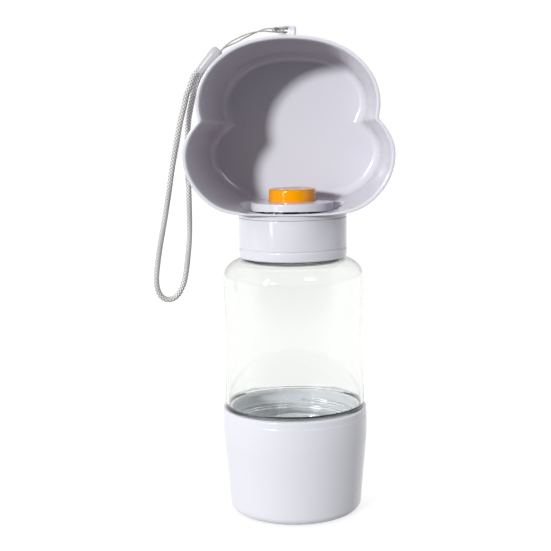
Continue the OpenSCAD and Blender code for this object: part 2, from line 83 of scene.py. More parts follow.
def make_camera():
    data = bpy.data.cameras.new("camera")
    data.sensor_width = SENSOR
    data.lens = FOCAL_PX / PHOTO_PX * SENSOR
    data.clip_start, data.clip_end = 0.02, 60
    cam = bpy.data.objects.new("camera", data)
    scene.collection.objects.link(cam)
    az, pitch, roll = (math.radians(a) for a in (CAM_AZIMUTH, CAM_PITCH, CAM_ROLL))
    turn = az + math.radians(CAM_YAW)
    ahead = Vector((-math.sin(turn) * math.cos(pitch), math.cos(turn) * math.cos(pitch),
                    -math.sin(pitch)))
    level = Vector((math.cos(turn), math.sin(turn), 0))
    above = level.cross(ahead)
    right = level * math.cos(roll) - above * math.sin(roll)
    up = level * math.sin(roll) + above * math.cos(roll)
    place = Vector((CAM_DISTANCE * math.sin(az), -CAM_DISTANCE * math.cos(az), CAM_HEIGHT)) * MM
    m = Matrix((right, up, -ahead)).transposed().to_4x4()
    m.translation = place
    cam.matrix_world = m
    scene.camera = cam


make_camera()

# ---------------------------------------------------------------- meshes


def new_object(name, verts, faces, sharp_deg=35.0):
    """A smooth-shaded mesh object from points in mm. Edges over sharp_deg stay sharp."""
    mesh = bpy.data.meshes.new(name)
    mesh.from_pydata([tuple(float(c) * MM for c in v) for v in verts], [], faces)
    mesh.update()
    obj = bpy.data.objects.new(name, mesh)
    scene.collection.objects.link(obj)
    smooth(obj, sharp_deg)
    return obj


def smooth(obj, sharp_deg=35.0):
    obj.data.polygons.foreach_set("use_smooth", [True] * len(obj.data.polygons))
    obj.data.set_sharp_from_angle(angle=math.radians(sharp_deg))
    obj.data.update()


def bake(obj):
    """Applies obj's modifiers to its mesh."""
    evaluated = obj.evaluated_get(bpy.context.evaluated_depsgraph_get())
    mesh = bpy.data.meshes.new_from_object(evaluated)
    obj.modifiers.clear()
    old, obj.data = obj.data, mesh
    bpy.data.meshes.remove(old)


def combine(obj, operation, *tools):
    """A boolean of obj with each tool in turn. The tools are used up."""
    for tool in tools:
        m = obj.modifiers.new("cut", "BOOLEAN")
        m.operation, m.object, m.solver = operation, tool, "MANIFOLD"
        bake(obj)
        bpy.data.objects.remove(tool)
    return obj


def eased(points, radius=0.4, steps=4):
    """A closed outline with its corners eased. A point may carry its own radius, third."""
    out, n = [], len(points)
    for i, p in enumerate(points):
        here = np.array(p[:2], float)
        r = p[2] if len(p) > 2 else radius
        a = np.array(points[i - 1][:2], float) - here
        b = np.array(points[(i + 1) % n][:2], float) - here
        la, lb = np.linalg.norm(a), np.linalg.norm(b)
        if r <= 0 or la < 1e-9 or lb < 1e-9:
            out.append(tuple(here))
            continue
        reach = min(r, 0.45 * la, 0.45 * lb)
        p0, p2 = here + a / la * reach, here + b / lb * reach
        for k in range(steps + 1):
            t = k / steps
            out.append(tuple((1 - t) ** 2 * p0 + 2 * t * (1 - t) * here + t * t * p2))
    return out


def lathe(name, profile, segments=160, sharp_deg=35.0):
    """Turns a closed outline of (r, z) round Z. It runs anticlockwise, with r to the right."""
    verts, rows = [], []
    for r, z in profile:
        if r < 1e-6:
            rows.append([len(verts)] * segments)
            verts.append((0, 0, z))
        else:
            rows.append(list(range(len(verts), len(verts) + segments)))
            verts += [(r * math.cos(a), r * math.sin(a), z)
                      for a in (2 * math.pi * k / segments for k in range(segments))]
    faces = []
    for i, low in enumerate(rows):
        high = rows[(i + 1) % len(rows)]
        for k in range(segments):
            j = (k + 1) % segments
            face = []
            for v in (low[k], low[j], high[j], high[k]):
                if v not in face:
                    face.append(v)
            if len(face) > 2:
                faces.append(face)
    return new_object(name, verts, faces, sharp_deg)


def skin(name, rings, sharp_deg=35.0):
    """A closed skin through rings of equally many points, with a fan at each end."""
    rings = np.asarray(rings, float)
    count, n = rings.shape[:2]
    verts = np.vstack([rings.reshape(-1, 3), rings[0].mean(0), rings[-1].mean(0)])
    faces = []
    for i in range(n):
        j = (i + 1) % n
        faces.append((i, j, count * n))
        for k in range(count - 1):
            faces.append((k * n + j, k * n + i, (k + 1) * n + i, (k + 1) * n + j))
        faces.append(((count - 1) * n + j, (count - 1) * n + i, count * n + 1))
    obj = new_object(name, verts, faces, sharp_deg)
    if signed_volume(obj) < 0:
        obj.data.flip_normals()
    return obj


def signed_volume(obj):
    mesh = obj.data
    mesh.calc_loop_triangles()
    co = np.array([v.co for v in mesh.vertices])
    tri = np.array([t.vertices for t in mesh.loop_triangles])
    return float(np.einsum("ij,ij->i", co[tri[:, 0]], np.cross(co[tri[:, 1]], co[tri[:, 2]])).sum())


def cylinder(name, radius, z0, z1, segments=160):
    return lathe(name, [(0, z0), (radius, z0), (radius, z1), (0, z1)], segments)


# ---------------------------------------------------------------- sizes, as in the CAD source

CUP_H, CUP_RIM_R, CUP_FOOT_R, CUP_STRAIGHT, CUP_FILLET = 50.7, 35.0, 32.1, 12.7, 4.0
CUP_WALL, CUP_FLOOR, CUP_LINE_DROP = 1.7, 2.2, 3.3
BODY_LOW_R, BODY_WAIST_R, BODY_TOP_R, BOTTLE_WALL = 33.8, 32.7, 33.7, 1.3
SHOULDER_H, PUNT_H, NECK_R, NECK_BORE_R = 9.4, 6.0, 22.0, 20.0
PITCH, RIDGE_H, RUN = 4.0, 1.4, 0.05
STEP_Z, BASE_Z, BASE_RIDGE_Z, SHOULDER_Z = 50.9, 37.5, 40.3, 114.0
NECK_Z, NECK_TOP_Z, NECK_RIDGE_Z = 123.4, 138.9, 128.0
CAP_Z, PLATE_Z, CAP_TOP_Z, CAP_R, CAP_BORE_R, CAP_GROOVE = 123.8, 140.6, 142.9, 25.8, 23.9, 4.5
FOOT_Z, TROUGH_Z, TROUGH_H, TROUGH_DEPTH, RIM_Y = 143.0, 145.15, 81.5, 51.4, -27.0
POCKET_Z, FLANGE_Z, FLANGE_TOP_Z, FLANGE_R = 145.0, 146.6, 150.0, 19.85
SEAT_FLOOR_Z, DISC_RISE, WELL_R, WELL_Z, STEM_HOLE_R = 143.7, 0.6, 11.7, 147.3, 2.05
SKIRT_W, SKIRT_GAP, FRONT_GAP = 1.5, 0.4, 1.55  # the gap under the disc, behind and in front
HUB_R, TUBE_R, TUBE_WALL, SEAT_Z = 13.6, 13.5, 2.0, 133.0
BUTTON_R, BUTTON_TOP_Z, BUTTON_LOW_Z, BUTTON_WALL = 11.2, 156.2, 149.9, 1.5
CUP_BORE_R = CUP_RIM_R - CUP_WALL
BASE_R = CUP_BORE_R - RIDGE_H - 0.6

# ---------------------------------------------------------------- cords

STRING_D, STRAP_D = 0.6, 2.7
SLEEVE_TOP = np.array([-31.1, -20, 220.7])
SLEEVE_LEAN, SLEEVE_LEN = 41.8, 13.85
KNOT_AT = np.array([-4.7, -23.15, 228.9])

STRING_ROUTE = [
    (-30.2, -20.6, 219.91), (-29.2, -20.7, 221.03), (-25.6, -21, 223.8), (-22.2, -21.2, 225.5),
    (-19.2, -21.4, 226.7), (-15.9, -21.5, 227.6), (-12.5, -21.4, 228.2), (-9.8, -21.1, 228.3),
    (-8, -20.5, 228.1), (-6, -19.2, 228), (-4.4, -17.4, 227.9), (-2.4, -16.9, 227.8),
    (-0.9, -17.5, 227.7), (-0.3, -19, 227.7), (-0.3, -21, 227.7), (-0.9, -22.5, 227.7),
    (-2.4, -23.1, 227.8), (-4.4, -22.9, 227.9), (-6, -22.6, 228.2), (-6.7, -22.4, 228.9),
    (-5.8, -22.5, 229.5), (-4.2, -22.8, 229.5), (-2.2, -22.9, 229.4), (-0.7, -22.4, 229.3),
    (0.1, -21, 229.1), (0.1, -19, 229.1), (-0.7, -17.5, 229.3), (-2.4, -16.9, 229.4),
    (-4.4, -17.4, 229.4), (-6, -18.8, 229.4), (-8.2, -19.4, 229.5), (-10.5, -19.5, 229.2),
    (-13, -19.5, 228.4), (-16.1, -19.4, 227.1), (-19.8, -19.3, 225.4), (-23.4, -19.3, 223.6),
    (-25.9, -19.3, 222.6), (-29.2, -19.4, 221.03), (-30.2, -19.4, 219.91),
]
STRAP_ROUTE = [
    (-41.05, -21.15, 210.99), (-42.52, -21.15, 209.35), (-43.7, -21.25, 206.8),
    (-44.8, -21.2, 203.6), (-46.1, -21, 201), (-47.6, -20.4, 195.6), (-49.2, -19.8, 190.2),
    (-50.3, -19.3, 186.1), (-51.4, -18.6, 181.1), (-53.1, -17.6, 173.7), (-54.9, -16.6, 165.4),
    (-56.4, -15.8, 157), (-58, -15.2, 148.6), (-59.7, -14.8, 140.1), (-61.5, -14.4, 131.6),
    (-63, -14.2, 123), (-63.8, -14, 117.3), (-64, -13.8, 113.4), (-63.5, -13.5, 109.5),
    (-62, -13.1, 106.4), (-59.4, -12.7, 104.9), (-56.6, -12.3, 105.2), (-54.1, -11.9, 107.2),
    (-52.2, -11.4, 110.6), (-51, -10.9, 114), (-50, -10.3, 119.6), (-49.3, -9.7, 125.4),
    (-48.7, -9.1, 131.8), (-48.4, -8.5, 139.4), (-48.4, -8, 146.9), (-48.5, -7.5, 153.5),
    (-48.6, -7.1, 159.2), (-48.7, -7, 164.8), (-48.8, -7.2, 170.5), (-48.6, -8, 176.1),
    (-48.2, -9.4, 180.8), (-47.5, -11.5, 185.9), (-46.7, -13.4, 190.1), (-45.7, -14.9, 193.9),
    (-44.7, -16.2, 197.4), (-43.6, -17.4, 200.8), (-42.4, -18.4, 203.9), (-41.9, -18.75, 205.7),
    (-41.11, -18.85, 208.09), (-39.64, -18.85, 209.73),
]


def curve_through(points, step):
    """Points a step apart on a smooth curve through the given ones."""
    p = np.array(points, float)
    p = np.vstack([2 * p[0] - p[1], p, 2 * p[-1] - p[-2]])
    fine = []
    for i in range(1, len(p) - 2):
        knots = [0.0]
        for k in range(3):
            knots.append(knots[-1] + math.sqrt(np.linalg.norm(p[i + k] - p[i + k - 1])))
        t0, t1, t2, t3 = knots
        for t in np.linspace(t1, t2, 24, endpoint=False):
            a1 = ((t1 - t) * p[i - 1] + (t - t0) * p[i]) / (t1 - t0)
            a2 = ((t2 - t) * p[i] + (t - t1) * p[i + 1]) / (t2 - t1)
            a3 = ((t3 - t) * p[i + 1] + (t - t2) * p[i + 2]) / (t3 - t2)
            b1 = ((t2 - t) * a1 + (t - t0) * a2) / (t2 - t0)
            b2 = ((t3 - t) * a2 + (t - t1) * a3) / (t3 - t1)
            fine.append(((t2 - t) * b1 + (t - t1) * b2) / (t2 - t1))
    fine.append(p[-2])
    fine = np.array(fine)
    along = np.concatenate([[0], np.cumsum(np.linalg.norm(np.diff(fine, axis=0), axis=1))])
    s = np.linspace(0, along[-1], max(2, int(round(along[-1] / step)) + 1))
    return np.column_stack([np.interp(s, along, fine[:, k]) for k in range(3)]), s


def carried_frames(path):
    """Two directions square to the path at each point, turned as little as possible."""
    ahead = np.gradient(path, axis=0)
    ahead /= np.linalg.norm(ahead, axis=1)[:, None]
    side = np.zeros_like(path)
    start = np.array([0, 1.0, 0])
    side[0] = start - ahead[0] * (start @ ahead[0])
    side[0] /= np.linalg.norm(side[0])
    for i in range(1, len(path)):
        v = side[i - 1] - ahead[i] * (side[i - 1] @ ahead[i])
        side[i] = v / np.linalg.norm(v)
    return side, np.cross(ahead, side)


def tube(name, path, radius_at, around):
    """A tube along path, whose radius_at(angle, i) takes and gives arrays."""
    side, other = carried_frames(path)
    angle = np.linspace(0, 2 * math.pi, around, endpoint=False)
    rings = []
    for i, p in enumerate(path):
        r = radius_at(angle, i)[:, None]
        rings.append(p + r * (np.cos(angle)[:, None] * side[i] + np.sin(angle)[:, None] * other[i]))
    return skin(name, rings, sharp_deg=80)


def mark(obj, name, values):
    """Stores one value per ring point, with the two end points taking the last ring's."""
    attribute = obj.data.attributes.new(name, "FLOAT", "POINT")
    full = np.concatenate([values, values[-1:], values[-1:]])
    attribute.data.foreach_set("value", full.astype(np.float32))


BRAID_STRANDS = 5  # in each direction
BRAID_RISE = 1.65  # mm along the cord from one strand to the next
BRAID_RELIEF = 0.28
BRAID_WEAVE = 0.35  # how far a strand rises over a crossing, and falls under the next
BRAID_NARROW = 3.4  # how steeply a strand falls off to its sides
STRING_PLIES, STRING_LAY, STRING_RELIEF = 3, 3.2, 0.22
KNOT_SIZE, KNOT_STRING_R = (0.30, 0.28, 0.21), 0.36


def make_strap():
    path, s = curve_through(STRAP_ROUTE, 0.19)
    around = 56
    top = STRAP_D / 2
    heights, shades = [], []

    def arch(off):
        return np.sqrt(np.clip(1 - BRAID_NARROW * off ** 2, 0, 1))

    def braid(angle, i):
        a = BRAID_STRANDS * angle / (2 * math.pi) - s[i] / BRAID_RISE
        b = BRAID_STRANDS * angle / (2 * math.pi) + s[i] / BRAID_RISE
        na, nb = np.round(a), np.round(b)
        one = BRAID_WEAVE * np.cos(math.pi * (na + b)) + arch(a - na)
        two = -BRAID_WEAVE * np.cos(math.pi * (nb + a)) + arch(b - nb)
        h = np.maximum(one, two) / (1 + BRAID_WEAVE)
        heights.append(h)
        index = np.where(one > two, na, 31 + nb)
        shades.append(0.5 + 0.5 * np.sin(index * 12.9898 + 4.1))  # uneven from strand to strand
        return top - BRAID_RELIEF * (1 - h)

    obj = tube("strap_braid", path, braid, around)
    mark(obj, "relief", np.concatenate(heights))
    mark(obj, "shade", np.concatenate(shades))
    return obj, path, s[-1]


def make_string():
    path, s = curve_through(STRING_ROUTE, 0.16)
    around = 20
    heights = []

    def twist(angle, i):
        h = np.abs(np.cos(STRING_PLIES / 2 * (angle - 2 * math.pi * s[i] / STRING_LAY)))
        heights.append(h)
        return STRING_D / 2 * (1 - STRING_RELIEF + STRING_RELIEF * h)

    obj = tube("string_twist", path, twist, around)
    mark(obj, "relief", np.concatenate(heights))
    return obj, path, s[-1]


def make_sleeve():
    """A soft tip, flat-sided round the strap's two ends, that narrows down to a small collar.
    A station is the way along it from the top, its half width and its half depth."""
    lean = math.radians(SLEEVE_LEAN)
    down = np.array([-math.sin(lean), 0, -math.cos(lean)])
    across = np.array([math.cos(lean), 0, -math.sin(lean)])
    depth = np.array([0, 1.0, 0])
    stations = [(0, 1.1, 0.9), (0.08, 1.7, 1.35), (0.35, 2.25, 1.75), (0.9, 2.65, 2.05),
                (1.8, 2.8, 2.2), (4, 2.74, 2.25), (8, 2.52, 2.3), (11.5, 2.3, 2.33),
                (12.3, 2.25, 2.33), (12.45, 2.12, 2.2), (12.75, 2.12, 2.2), (12.9, 2.2, 2.3),
                (13.6, 2.16, 2.28), (13.8, 2.08, 2.2), (SLEEVE_LEN, 1.9, 2.0)]
    rings = []
    for s, wide, deep in stations:
        ring = []
        for a in np.linspace(0, 2 * math.pi, 72, endpoint=False):
            c, d = math.cos(a), math.sin(a)
            c, d = (math.copysign(abs(v) ** 0.8, v) for v in (c, d))
            ring.append(SLEEVE_TOP + down * s + across * (wide * c) + depth * (deep * d))
        rings.append(ring)
    return skin("lanyard_tip", rings, sharp_deg=50)


def make_knot():
    """The small knot that closes the string in front of the lug."""
    t = np.linspace(0, 2 * math.pi, 121)
    wide, deep, high = KNOT_SIZE
    path = np.column_stack([wide * (np.sin(t) + 2 * np.sin(2 * t)), deep * np.sin(3 * t),
                            high * (np.cos(t) - 2 * np.cos(2 * t))]) + KNOT_AT
    return tube("string_knot", path, lambda angle, i: np.full_like(angle, KNOT_STRING_R), 14)


strap, strap_path, strap_length = make_strap()
string, string_path, string_length = make_string()
sleeve, knot = make_sleeve(), make_knot()
for obj, node, slot in ((strap, "strap_cord", "strap"), (string, "string_loop", "string"),
                        (sleeve, "lanyard_sleeve", "sleeve"), (knot, None, "string")):
    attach(obj, "head")
    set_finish(obj, slot)
    if node:
        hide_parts(node)

# ---------------------------------------------------------------- screw threads

MALE_TURNS, FEMALE_TURNS = 1.25, 1.5


def ridge(name, root_r, crest_r, z0, turns, steps=72):
    """A thread's ridge, wide at its wall and narrow at its crest, that fades at both ends."""
    side = 1 if crest_r > root_r else -1
    n = round(turns * steps)
    rings = []
    for i in range(n + 1):
        a = 2 * math.pi * turns * i / n
        grow = min(1, 0.15 + min(i, n - i) * 10 / steps)
        r_in = root_r - side * 0.3
        r_out = root_r + (crest_r - root_r) * grow
        z = z0 + PITCH * a / (2 * math.pi)
        root, crest = grow * 0.3 * PITCH, grow * 0.125 * PITCH
        section = eased([(r_in, z - root, 0), (r_out, z - crest, 0.35),
                         (r_out, z + crest, 0.35), (r_in, z + root, 0)], steps=3)
        rings.append([(r * math.cos(a), r * math.sin(a), h) for r, h in section])
    return skin(name, rings, sharp_deg=50)


# ---------------------------------------------------------------- food cup


def make_cup():
    taper_z = CUP_H - CUP_STRAIGHT
    slope = (CUP_RIM_R - CUP_FOOT_R) / (taper_z - CUP_FILLET)
    foot_c = CUP_FOOT_R - CUP_FILLET
    ring_r, recess, inner_fillet, band = foot_c - 6.5, 0.6, 3.0, 0.22
    floor_c = CUP_BORE_R - (taper_z - CUP_FLOOR - inner_fillet) * slope - inner_fillet
    line_z = CUP_H - CUP_LINE_DROP
    outline = [(0, recess, 0), (ring_r - 0.4, recess, 0.4), (ring_r, 0, 0.4)]
    outline += [(foot_c + CUP_FILLET * math.sin(a), CUP_FILLET * (1 - math.cos(a)), 0)
                for a in np.linspace(0, math.pi / 2, 14)]
    outline += [(CUP_RIM_R, taper_z, 6), (CUP_RIM_R, line_z - 0.2, 0.25),
                (CUP_RIM_R - band, line_z + 0.1, 0.2), (CUP_RIM_R - band, CUP_H, 0.6),
                (CUP_BORE_R, CUP_H, 0.5), (CUP_BORE_R, taper_z, 6)]
    outline += [(floor_c + inner_fillet * math.sin(a),
                 CUP_FLOOR + inner_fillet * (1 - math.cos(a)), 0)
                for a in np.linspace(math.pi / 2, 0, 12)]
    outline.append((0, CUP_FLOOR, 0))
    cup = lathe("food_cup_shell", eased(outline, steps=5), 192)
    thread = ridge("cup_thread", CUP_BORE_R, CUP_BORE_R - RIDGE_H, BASE_RIDGE_Z - PITCH / 2,
                   FEMALE_TURNS)
    combine(cup, "UNION", thread)
    smooth(cup)
    return cup


# ---------------------------------------------------------------- bottle


def body_side(d, n):
    out, z0 = [], STEP_Z + 1 + d
    for i in range(n + 1):
        t = i / n
        bulge = (BODY_LOW_R + BODY_TOP_R) / 2 - BODY_WAIST_R
        r = BODY_LOW_R + (BODY_TOP_R - BODY_LOW_R) * t - bulge * math.sin(math.pi * t) ** 2
        out.append((r - d, z0 + (SHOULDER_Z - z0) * t, 0))
    return out


def shoulder_side(d, n):
    return [(NECK_R + (BODY_TOP_R - NECK_R - d) * math.cos(a),
             SHOULDER_Z + (SHOULDER_H - d) * math.sin(a), 0)
            for a in np.linspace(0, math.pi / 2, n + 1)[1:]]


def punt_side(d, n):
    punt_r = BASE_R - 5.3
    return [(punt_r * t, BASE_Z + d + PUNT_H * (1 - t * t) ** 1.2, 0)
            for t in np.linspace(0, 1, n + 1)]


def make_bottle():
    w = BOTTLE_WALL
    outline = punt_side(0, 24)
    outline += [(BASE_R, BASE_Z, 2.2), (BASE_R, STEP_Z, 0.7), (BODY_LOW_R, STEP_Z, 0.9)]
    outline += body_side(0, 48) + shoulder_side(0, 24)
    outline += [(NECK_R, NECK_Z, 0.5), (NECK_R, NECK_TOP_Z, 0.6), (NECK_BORE_R, NECK_TOP_Z, 0.4),
                (NECK_BORE_R, NECK_Z - w, 1.0)]
    outline += shoulder_side(w, 24)[::-1] + body_side(w, 48)[::-1]
    outline += [(BASE_R - w, STEP_Z + w / 2, 1.2), (BASE_R - w, BASE_Z + w, 2.4)]
    outline += punt_side(w, 24)[::-1]
    bottle = lathe("bottle_shell", eased(outline, steps=5), 224)
    threads = [ridge("base_thread", BASE_R, BASE_R + RIDGE_H, BASE_RIDGE_Z, MALE_TURNS),
               ridge("neck_thread", NECK_R, NECK_R + RIDGE_H, NECK_RIDGE_Z, MALE_TURNS)]
    combine(bottle, "UNION", *threads)
    smooth(bottle, 40)
    return bottle


# ---------------------------------------------------------------- screw cap


def make_cap():
    groove, seal_in, seal_out, seal_deep = 0.45, HUB_R + 3.5, HUB_R + 6.3, 0.9
    groove_z = CAP_Z + CAP_GROOVE
    outline = [(CAP_BORE_R, CAP_Z, 0.3), (CAP_R, CAP_Z, 0.7),
               (CAP_R, groove_z - groove, 0.2), (CAP_R - groove, groove_z, 0.12),
               (CAP_R, groove_z + groove, 0.2), (CAP_R, CAP_TOP_Z, 0.35),
               (seal_out, CAP_TOP_Z, 0.1), (seal_out, CAP_TOP_Z - seal_deep, 0.1),
               (seal_in, CAP_TOP_Z - seal_deep, 0.1), (seal_in, CAP_TOP_Z, 0.1),
               (HUB_R, CAP_TOP_Z, 0.2), (HUB_R, PLATE_Z, 0.2), (CAP_BORE_R, PLATE_Z, 0.6)]
    cap = lathe("screw_cap_shell", eased(outline, steps=4), 192)
    thread = ridge("cap_thread", CAP_BORE_R, CAP_BORE_R - RIDGE_H, NECK_RIDGE_Z - PITCH / 2,
                   FEMALE_TURNS)
    combine(cap, "UNION", thread)
    smooth(cap)
    return cap


# ---------------------------------------------------------------- trough

OUTLINE_N = 320
NOTCH_H, LOW_H, UP_H = 42.15, 27.4, 50.7
LOW_A, LOW_B_DOWN, LOW_B_UP, UP_A = 48.2, 33.55, 30.35, 41.55
UP_B = TROUGH_H - UP_H + 0.8
TOP_ARC, BOTTOM_ARC, TOP_EASE, CORNER_POWER, NOTCH_POWER = 140, 900, 0.5, 24, 60
SIDE_DRAFT, LOW_DRAFT, BACK_FILLET = 4.8, 2.15, 6.0
WALL, BOTTOM_WALL, LIP_ROUND = 1.7, 1.25, 0.6
BACK_Y = RIM_Y + TROUGH_DEPTH
TROUGH_CZ = TROUGH_Z + NOTCH_H
LUG_W, LUG_T, LUG_H, LUG_HOLE_R, LUG_CORNER = 7.7, 3.6, 3.85, 1.5, 1.2
LUG_Y, LUG_TOP_Z = RIM_Y + 7, TROUGH_Z + TROUGH_H + LUG_H
LUG_HOLE_Z = LUG_TOP_Z - LUG_HOLE_R - 0.9
DISC_SEAT_R = FLANGE_R + 0.25
DISH_Z, DISH_W, DISH_RISE = 145.3, 5.9, 0.06  # the dish round the disc: floor, width, edge
DISH_LESS_BEHIND, DISH_LESS_IN_FRONT = 5.6, 0.6  # what its width loses there
DISH_LATE = 2.2  # how much later it starts to rise in front of the disc
LIP_HALF_W = 20  # of the lowered lip in front of the dish
LIP_DROPS = ((RIM_Y - 2, 0.3), (RIM_Y + 0.7, 0.3), (RIM_Y + 1.5, 0.85), (-20, 0.85), (-12, 0.85))
LIP_X = (-23, -19, -12, -6, 0, 6, 12, 19, 23)


def outline_angles():
    """Angles round the outline, closer together at the two notches."""
    t = 2 * math.pi * np.arange(OUTLINE_N) / OUTLINE_N
    return t - 0.3 * np.sin(2 * t)


def cloud_ring(y, d, e):
    """The outline at the depth y, drawn in by d at its sides and by e at its bottom."""
    t = outline_angles()
    c, s = np.cos(t), np.sin(t)

    def ellipse(dz, a, b):
        k2 = (c / a) ** 2 + (s / b) ** 2
        k1, k0 = s * dz / b ** 2, (dz / b) ** 2 - 1
        return (k1 + np.sqrt(k1 ** 2 - k2 * k0)) / k2

    def arc(way, h, r):
        m = way * (h - r)
        return m + np.sqrt(m * m + r * r - (h - r) ** 2)

    def soft(a, b, p):
        return (a ** p + b ** p) ** (1 / p)

    low_dz = LOW_H - NOTCH_H
    low_b = np.where(s * LOW_A > low_dz * abs(c), LOW_B_UP, LOW_B_DOWN)
    low = soft(ellipse(low_dz, LOW_A - d, low_b - d), arc(-s, NOTCH_H - e, BOTTOM_ARC),
               -CORNER_POWER)
    up = soft(ellipse(UP_H - NOTCH_H, UP_A - d, UP_B - d),
              arc(s, TROUGH_H - NOTCH_H + TOP_EASE - d, TOP_ARC), -CORNER_POWER)
    r = soft(low, up, NOTCH_POWER)
    return np.column_stack([r * c, np.full_like(r, y), TROUGH_CZ + r * s])


def drafted_ring(y, d, e):
    share = (y - RIM_Y) / TROUGH_DEPTH
    return cloud_ring(y, d + SIDE_DRAFT * share, e + LOW_DRAFT * share)


def back_rings(y_back, f, d, e):
    """Rings across the flat back and round its fillet, forward to the wall."""
    edge = drafted_ring(y_back, d + f, e + f)
    middle = edge.mean(0)
    rings = [middle + (edge - middle) * share for share in (0.15, 0.5, 0.8, 0.97)]
    for a in np.linspace(0, math.pi / 2, 13):
        rings.append(drafted_ring(y_back - f * (1 - math.cos(a)), d + f * (1 - math.sin(a)),
                                  e + f * (1 - math.sin(a))))
    return rings


def wall_rings(y_from, d, e, n=14):
    return [drafted_ring(y, d, e) for y in np.linspace(y_from, RIM_Y + LIP_ROUND, n + 1)[1:]]


def trough_skins():
    """The closed skins of the trough's outside and of its hollow."""
    quarter = np.linspace(0, math.pi / 2, 7)[1:]
    outside = back_rings(BACK_Y, BACK_FILLET, 0, 0) + wall_rings(BACK_Y - BACK_FILLET, 0, 0)
    outside += [cloud_ring(RIM_Y + LIP_ROUND * (1 - math.sin(a)), LIP_ROUND * (1 - math.cos(a)),
                           LIP_ROUND * (1 - math.cos(a))) for a in quarter]
    w, b = WALL, BOTTOM_WALL
    inside = (back_rings(BACK_Y - w, BACK_FILLET - w, w, b)
              + wall_rings(BACK_Y - BACK_FILLET, w, b))
    lips = [(w - LIP_ROUND * (1 - math.cos(a)), b - LIP_ROUND * (1 - math.cos(a)),
             RIM_Y + LIP_ROUND * (1 - math.sin(a))) for a in quarter]
    inside += [cloud_ring(y, d, e) for d, e, y in lips]
    inside.append(cloud_ring(RIM_Y - 1, w - LIP_ROUND, b - LIP_ROUND))
    return skin("trough_shell", outside), skin("hollow", inside)


def make_foot():
    top = TROUGH_Z + LOW_DRAFT + 1.3
    return lathe("foot", eased([(0, FOOT_Z, 0), (CAP_R, FOOT_Z, 0.35), (CAP_R, top, 0),
                                (0, top, 0)]), 192)


def make_lug():
    half, low = LUG_W / 2, LUG_TOP_Z - LUG_H - 1.5
    rings = []
    for shift, inset in ((0, 0.5), (0.06, 0.3), (0.2, 0.12), (0.5, 0), (LUG_T - 0.5, 0),
                         (LUG_T - 0.2, 0.12), (LUG_T - 0.06, 0.3), (LUG_T, 0.5)):
        w, top, corner = half - inset, LUG_TOP_Z - inset, LUG_CORNER
        side = eased([(-w, low, 0), (w, low, 0), (w, top, corner), (-w, top, corner)], steps=10)
        rings.append([(x, LUG_Y - LUG_T / 2 + shift, z) for x, z in side])
    return skin("lug", rings)


def make_lug_hole():
    """The hole's cutter, which flares at both faces of the lug."""
    end, flare = 8, 2.4
    hole = lathe("hole", eased([(0, -end, 0), (flare, -end, 0), (flare, -LUG_T / 2 - 0.01, 0),
                                (LUG_HOLE_R, -LUG_T / 2 + 0.5, 0.6),
                                (LUG_HOLE_R, LUG_T / 2 - 0.5, 0.6), (flare, LUG_T / 2 + 0.01, 0),
                                (flare, end, 0), (0, end, 0)]), 48)
    hole.data.transform(Matrix.Translation((0, LUG_Y * MM, LUG_HOLE_Z * MM))
                        @ Matrix.Rotation(math.radians(90), 4, "X"))
    return hole


def floor_z(x, y):
    """The height of the trough's floor at (x, y)."""
    ring = drafted_ring(y, WALL, BOTTOM_WALL)
    low = ring[ring[:, 2] < TROUGH_Z + 12]
    low = low[np.argsort(low[:, 0])]
    return np.interp(x, low[:, 0], low[:, 2])


def make_dish():
    """The cutter of a shallow dish in the floor, round the disc."""
    overlap = 0.05
    rings = []
    for t in np.linspace(0, 1, 13):
        ring = []
        for a in np.linspace(0, 2 * math.pi, 120, endpoint=False):
            front, behind = max(0, math.cos(a)), max(0, -math.cos(a))
            out_r = (DISC_SEAT_R + DISH_W - DISH_LESS_BEHIND * behind
                     - DISH_LESS_IN_FRONT * front ** 2)
            r = DISC_SEAT_R - overlap + (out_r - DISC_SEAT_R + overlap) * t
            x, y = r * math.sin(a), -r * math.cos(a)
            z = floor_z(x, y)
            late = math.pi * t ** (1 + DISH_LATE * front)
            ring.append((x, y, z - (z - DISH_Z) * (1 + math.cos(late)) / 2 + DISH_RISE * t))
        rings.append(ring)
    rings.append([(x, y, FLANGE_TOP_Z) for x, y, z in rings[-1]])
    return skin("dish", rings)


def make_lip_step():
    """The cutter that lowers the lip in front of the dish."""
    rings = []
    for y, drop in LIP_DROPS:
        ring = [(x, y, floor_z(x, max(y, RIM_Y)) - (drop if abs(x) < LIP_HALF_W else -0.05))
                for x in LIP_X]
        rings.append(ring + [(LIP_X[-1], y, FLANGE_TOP_Z), (LIP_X[0], y, FLANGE_TOP_Z)])
    return skin("lip_step", rings)


def make_trough():
    shell, hollow = trough_skins()
    combine(shell, "UNION", make_foot(), make_lug())
    hole = make_lug_hole()
    pocket = cylinder("pocket", DISC_SEAT_R, SEAT_FLOOR_Z, FLANGE_TOP_Z)
    dish, step = make_dish(), make_lip_step()
    hub = cylinder("hub", HUB_R, FOOT_Z - 1, FOOT_Z + 4)
    combine(shell, "DIFFERENCE", hollow, pocket, dish, step, hub, hole)
    smooth(shell, 38)
    return shell


# ---------------------------------------------------------------- valve and button


